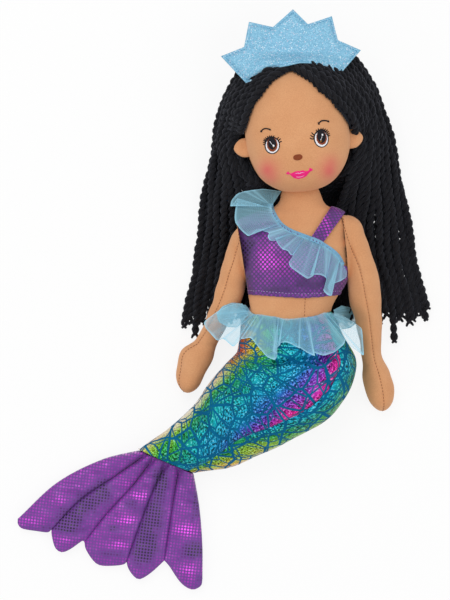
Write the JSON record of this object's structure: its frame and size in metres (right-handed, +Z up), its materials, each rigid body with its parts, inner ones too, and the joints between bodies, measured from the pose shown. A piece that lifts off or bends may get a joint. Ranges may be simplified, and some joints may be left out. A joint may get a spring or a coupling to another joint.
{
  "type": "mermaid doll",
  "caption": "Soft stuffed mermaid doll lying on its back, with yarn hair, fabric crown, ruffled one-shoulder top, shimmering tail and a quilted fin.",
  "frame": {"origin": "middle of the flat patch under the hips, on the table that the doll lies on", "axes": "+X to the viewer's right, +Y towards the doll's head and crown, +Z up out of the table, where the doll faces"},
  "size_m": [0.334, 0.4679, 0.0879],
  "materials": {
    "velour": "short brushed pile, matt",
    "polyester_stuffing": "loose fibre",
    "yarn": "thick twisted acrylic yarn, matt",
    "glitter_fabric": "fine glitter on pale blue fabric",
    "foam": "thin stiffening foam",
    "foil_dot_jersey": "purple jersey with small magenta foil dots",
    "tulle": "fine translucent net",
    "shattered_foil_jersey": "jersey with iridescent foil in small shards",
    "dark_thread": "satin stitch",
    "brown_thread": "satin stitch",
    "pink_thread": "satin stitch"
  },
  "bodies": {
    "torso": {"bodice": "foil_dot_jersey", "neckline_ruffle": "tulle", "shoulder_strap": "foil_dot_jersey", "torso_back_panel": "velour", "torso_front_left_panel": "velour", "torso_front_right_panel": "velour", "torso_stuffing": "polyester_stuffing", "waist_ruffle": "tulle"},
    "head": {"crown_back_fabric": "glitter_fabric", "crown_front_fabric": "glitter_fabric", "crown_stiffener": "foam", "ear_left": "velour", "ear_right": "velour", "eye_left": "dark_thread", "eye_right": "dark_thread", "hair_back_bundle": "yarn", "hair_cap_back": "yarn", "hair_cap_left": "yarn", "hair_cap_right": "yarn", "hair_lock_back_1": "yarn", "hair_lock_back_2": "yarn", "hair_lock_back_3": "yarn", "hair_lock_back_4": "yarn", "hair_lock_back_5": "yarn", "hair_lock_left_1": "yarn", "hair_lock_left_2": "yarn", "hair_lock_left_3": "yarn", "hair_lock_left_4": "yarn", "hair_lock_left_5": "yarn", "hair_lock_left_6": "yarn", "hair_lock_right_1": "yarn", "hair_lock_right_2": "yarn", "hair_lock_right_3": "yarn", "hair_lock_right_4": "yarn", "hair_lock_right_5": "yarn", "hair_lock_right_6": "yarn", "hair_lock_right_7": "yarn", "hair_lock_right_8": "yarn", "head_back_panel": "velour", "head_face_panel": "velour", "head_stuffing": "polyester_stuffing", "mouth": "pink_thread", "nose": "brown_thread"},
    "arm_left": {"arm_left_inner_panel": "velour", "arm_left_outer_panel": "velour", "arm_left_stuffing": "polyester_stuffing"},
    "arm_right": {"arm_right_inner_panel": "velour", "arm_right_outer_panel": "velour", "arm_right_stuffing": "polyester_stuffing"},
    "tail": {"tail_back_panel": "shattered_foil_jersey", "tail_front_panel": "shattered_foil_jersey", "tail_stuffing": "polyester_stuffing"},
    "fin": {"fin_back_panel": "foil_dot_jersey", "fin_front_panel": "foil_dot_jersey", "fin_stuffing": "polyester_stuffing"}
  },
  "joints": [
    {"name": "head_tilt", "type": "hinge", "parent": "torso", "child": "head", "pos_m": [0.009, 0.143, 0.045], "axis": [0, 0, 1], "range_deg": [-15, 15], "deforming": ["hair_lock_back_1", "hair_lock_back_2", "hair_lock_back_3", "hair_lock_back_4", "hair_lock_back_5", "hair_lock_left_1", "hair_lock_left_2", "hair_lock_left_3", "hair_lock_left_4", "hair_lock_left_5", "hair_lock_left_6", "hair_lock_right_1", "hair_lock_right_2", "hair_lock_right_3", "hair_lock_right_4", "hair_lock_right_5", "hair_lock_right_6", "hair_lock_right_7", "hair_lock_right_8", "neckline_ruffle"]},
    {"name": "arm_left_raise", "type": "hinge", "parent": "torso", "child": "arm_left", "pos_m": [-0.0415, 0.115, 0.038], "axis": [-0.9874, -0.158, 0], "range_deg": [0, 110], "deforming": ["neckline_ruffle", "waist_ruffle"]},
    {"name": "arm_right_raise", "type": "hinge", "parent": "torso", "child": "arm_right", "pos_m": [0.042, 0.116, 0.037], "axis": [-0.994, -0.1093, 0], "range_deg": [0, 110], "deforming": ["neckline_ruffle", "waist_ruffle"]},
    {"name": "tail_bend", "type": "hinge", "parent": "torso", "child": "tail", "pos_m": [0, 0.048, 0.0575], "axis": [-1, 0, 0], "range_deg": [0, 70], "deforming": ["waist_ruffle"]},
    {"name": "fin_flap", "type": "hinge", "parent": "tail", "child": "fin", "pos_m": [-0.1005, -0.0685, 0.0245], "axis": [-0.9463, 0.3231, 0], "range_deg": [0, 60]}
  ]
}
